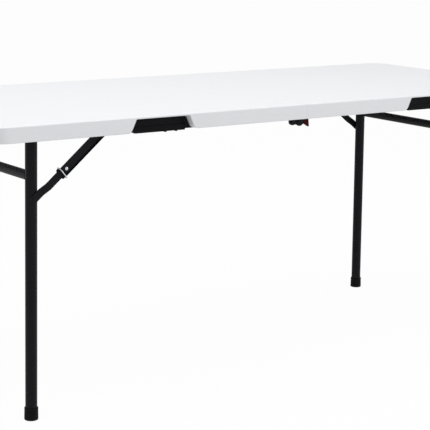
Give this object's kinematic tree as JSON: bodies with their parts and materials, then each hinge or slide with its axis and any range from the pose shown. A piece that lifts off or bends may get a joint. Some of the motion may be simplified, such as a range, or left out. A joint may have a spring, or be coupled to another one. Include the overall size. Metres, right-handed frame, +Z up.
{
  "type": "folding table",
  "caption": "Fold-in-half trestle table with moulded white top halves, folding black steel leg frames, knee braces with lock rings and carrying grips.",
  "frame": {"origin": "on the floor under the middle of the table, where the seam between the halves meets the centre line", "axes": "+X along the length from the left half to the right half, -Y towards the side with the carrying grips, +Z up"},
  "size_m": [1.83, 0.76, 0.743],
  "materials": {
    "moulded_top": "blow-moulded polyethylene, fine pebble texture",
    "black_paint": "black powder coat on steel",
    "black_plastic": "moulded, satin",
    "red_plastic": "moulded, satin gloss",
    "zinc": "bright zinc plate",
    "nylon": "moulded nylon"
  },
  "bodies": {
    "left_half": {"left_top": "moulded_top", "left_grip": "black_plastic", "left_near_rail": "black_paint", "left_far_rail": "black_paint", "left_near_hinge_bracket": "black_paint", "left_far_hinge_bracket": "black_paint", "left_rail_screws": "zinc", "left_brace_pivots": "zinc", "left_hinge_pins": "black_paint", "left_axle_bushes": "nylon"},
    "left_leg_frame": {"left_leg_axle": "black_paint", "left_near_leg": "black_paint", "left_far_leg": "black_paint", "left_crossbar": "black_paint", "left_near_foot": "black_plastic", "left_far_foot": "black_plastic"},
    "left_near_channel": {"left_near_brace_channel": "black_paint", "left_near_knee_rivet": "zinc"},
    "left_near_strap": {"left_near_brace_strap": "black_paint", "left_near_leg_rivet": "black_paint"},
    "left_near_ring": {"left_near_lock_ring": "zinc"},
    "left_far_channel": {"left_far_brace_channel": "black_paint", "left_far_knee_rivet": "zinc"},
    "left_far_strap": {"left_far_brace_strap": "black_paint", "left_far_leg_rivet": "black_paint"},
    "left_far_ring": {"left_far_lock_ring": "zinc"},
    "right_half": {"right_top": "moulded_top", "right_grip": "black_plastic", "right_near_rail": "black_paint", "right_far_rail": "black_paint", "right_near_hinge_bracket": "black_paint", "right_far_hinge_bracket": "black_paint", "right_rail_screws": "zinc", "right_brace_pivots": "zinc", "right_hinge_pins": "black_paint", "right_axle_bushes": "nylon", "lock_lever_pins": "zinc"},
    "right_leg_frame": {"right_leg_axle": "black_paint", "right_near_leg": "black_paint", "right_far_leg": "black_paint", "right_crossbar": "black_paint", "right_near_foot": "black_plastic", "right_far_foot": "black_plastic"},
    "right_near_channel": {"right_near_brace_channel": "black_paint", "right_near_knee_rivet": "zinc"},
    "right_near_strap": {"right_near_brace_strap": "black_paint", "right_near_leg_rivet": "black_paint"},
    "right_near_ring": {"right_near_lock_ring": "zinc"},
    "right_far_channel": {"right_far_brace_channel": "black_paint", "right_far_knee_rivet": "zinc"},
    "right_far_strap": {"right_far_brace_strap": "black_paint", "right_far_leg_rivet": "black_paint"},
    "right_far_ring": {"right_far_lock_ring": "zinc"},
    "centre_link": {"near_hinge_link": "black_paint", "far_hinge_link": "black_paint"},
    "near_lever": {"near_lock_lever": "red_plastic"},
    "far_lever": {"far_lock_lever": "red_plastic"}
  },
  "joints": [
    {"name": "link_fold", "type": "hinge", "parent": "left_half", "child": "centre_link", "pos_m": [-0.011, 0, 0.693], "axis": [0, 1, 0], "range_deg": [0, 90]},
    {"name": "right_fold", "type": "hinge", "parent": "centre_link", "child": "right_half", "pos_m": [0.011, 0, 0.693], "axis": [0, 1, 0], "range_deg": [0, 90]},
    {"name": "left_leg_fold", "type": "hinge", "parent": "left_half", "child": "left_leg_frame", "pos_m": [-0.773, 0, 0.711], "axis": [0, -1, 0], "range_deg": [0, 90.56]},
    {"name": "left_near_channel_swing", "type": "hinge", "parent": "left_half", "child": "left_near_channel", "pos_m": [-0.588, -0.3249, 0.711], "axis": [0, -1, 0], "range_deg": [-40.5, 0]},
    {"name": "left_near_knee", "type": "hinge", "parent": "left_near_channel", "child": "left_near_strap", "pos_m": [-0.69239, -0.3249, 0.6237], "axis": [0, -1, 0], "range_deg": [0, 180.5]},
    {"name": "left_near_ring_slide", "type": "slide", "parent": "left_near_channel", "child": "left_near_ring", "axis": [0.7671, 0, 0.6415], "range_m": [0, 0.136]},
    {"name": "left_far_channel_swing", "type": "hinge", "parent": "left_half", "child": "left_far_channel", "pos_m": [-0.588, 0.3249, 0.711], "axis": [0, -1, 0], "range_deg": [-40.5, 0]},
    {"name": "left_far_knee", "type": "hinge", "parent": "left_far_channel", "child": "left_far_strap", "pos_m": [-0.69239, 0.3249, 0.6237], "axis": [0, -1, 0], "range_deg": [0, 180.5]},
    {"name": "left_far_ring_slide", "type": "slide", "parent": "left_far_channel", "child": "left_far_ring", "axis": [0.7671, 0, 0.6415], "range_m": [0, 0.136]},
    {"name": "right_leg_fold", "type": "hinge", "parent": "right_half", "child": "right_leg_frame", "pos_m": [0.773, 0, 0.711], "axis": [0, 1, 0], "range_deg": [0, 90.56]},
    {"name": "right_near_channel_swing", "type": "hinge", "parent": "right_half", "child": "right_near_channel", "pos_m": [0.566, -0.3249, 0.711], "axis": [0, 1, 0], "range_deg": [-40.5, 0]},
    {"name": "right_near_knee", "type": "hinge", "parent": "right_near_channel", "child": "right_near_strap", "pos_m": [0.68552, -0.3249, 0.61477], "axis": [0, 1, 0], "range_deg": [0, 180.5]},
    {"name": "right_near_ring_slide", "type": "slide", "parent": "right_near_channel", "child": "right_near_ring", "axis": [-0.7789, 0, 0.6271], "range_m": [0, 0.1435]},
    {"name": "right_far_channel_swing", "type": "hinge", "parent": "right_half", "child": "right_far_channel", "pos_m": [0.566, 0.3249, 0.711], "axis": [0, 1, 0], "range_deg": [-40.5, 0]},
    {"name": "right_far_knee", "type": "hinge", "parent": "right_far_channel", "child": "right_far_strap", "pos_m": [0.68552, 0.3249, 0.61477], "axis": [0, 1, 0], "range_deg": [0, 180.5]},
    {"name": "right_far_ring_slide", "type": "slide", "parent": "right_far_channel", "child": "right_far_ring", "axis": [-0.7789, 0, 0.6271], "range_m": [0, 0.1435]},
    {"name": "near_lever_swing", "type": "hinge", "parent": "right_half", "child": "near_lever", "pos_m": [0.0405, -0.33, 0.7065], "axis": [0, -1, 0], "range_deg": [0, 40], "stiffness_Nm_per_rad": 0.05},
    {"name": "far_lever_swing", "type": "hinge", "parent": "right_half", "child": "far_lever", "pos_m": [0.0405, 0.33, 0.7065], "axis": [0, -1, 0], "range_deg": [0, 40], "stiffness_Nm_per_rad": 0.05}
  ],
  "couplings": [
    {"joint": "left_near_channel_swing", "follows": "left_leg_fold", "ratio": -0.44062},
    {"joint": "left_near_knee", "follows": "left_leg_fold", "ratio": 1.9875},
    {"joint": "left_near_ring_slide", "follows": "left_leg_fold", "m_per_rad": 0.085408},
    {"joint": "left_far_channel_swing", "follows": "left_leg_fold", "ratio": -0.44062},
    {"joint": "left_far_knee", "follows": "left_leg_fold", "ratio": 1.9875},
    {"joint": "left_far_ring_slide", "follows": "left_leg_fold", "m_per_rad": 0.085408},
    {"joint": "right_near_channel_swing", "follows": "right_leg_fold", "ratio": -0.42885},
    {"joint": "right_near_knee", "follows": "right_leg_fold", "ratio": 1.9875},
    {"joint": "right_near_ring_slide", "follows": "right_leg_fold", "m_per_rad": 0.090153},
    {"joint": "right_far_channel_swing", "follows": "right_leg_fold", "ratio": -0.42885},
    {"joint": "right_far_knee", "follows": "right_leg_fold", "ratio": 1.9875},
    {"joint": "right_far_ring_slide", "follows": "right_leg_fold", "m_per_rad": 0.090153}
  ]
}
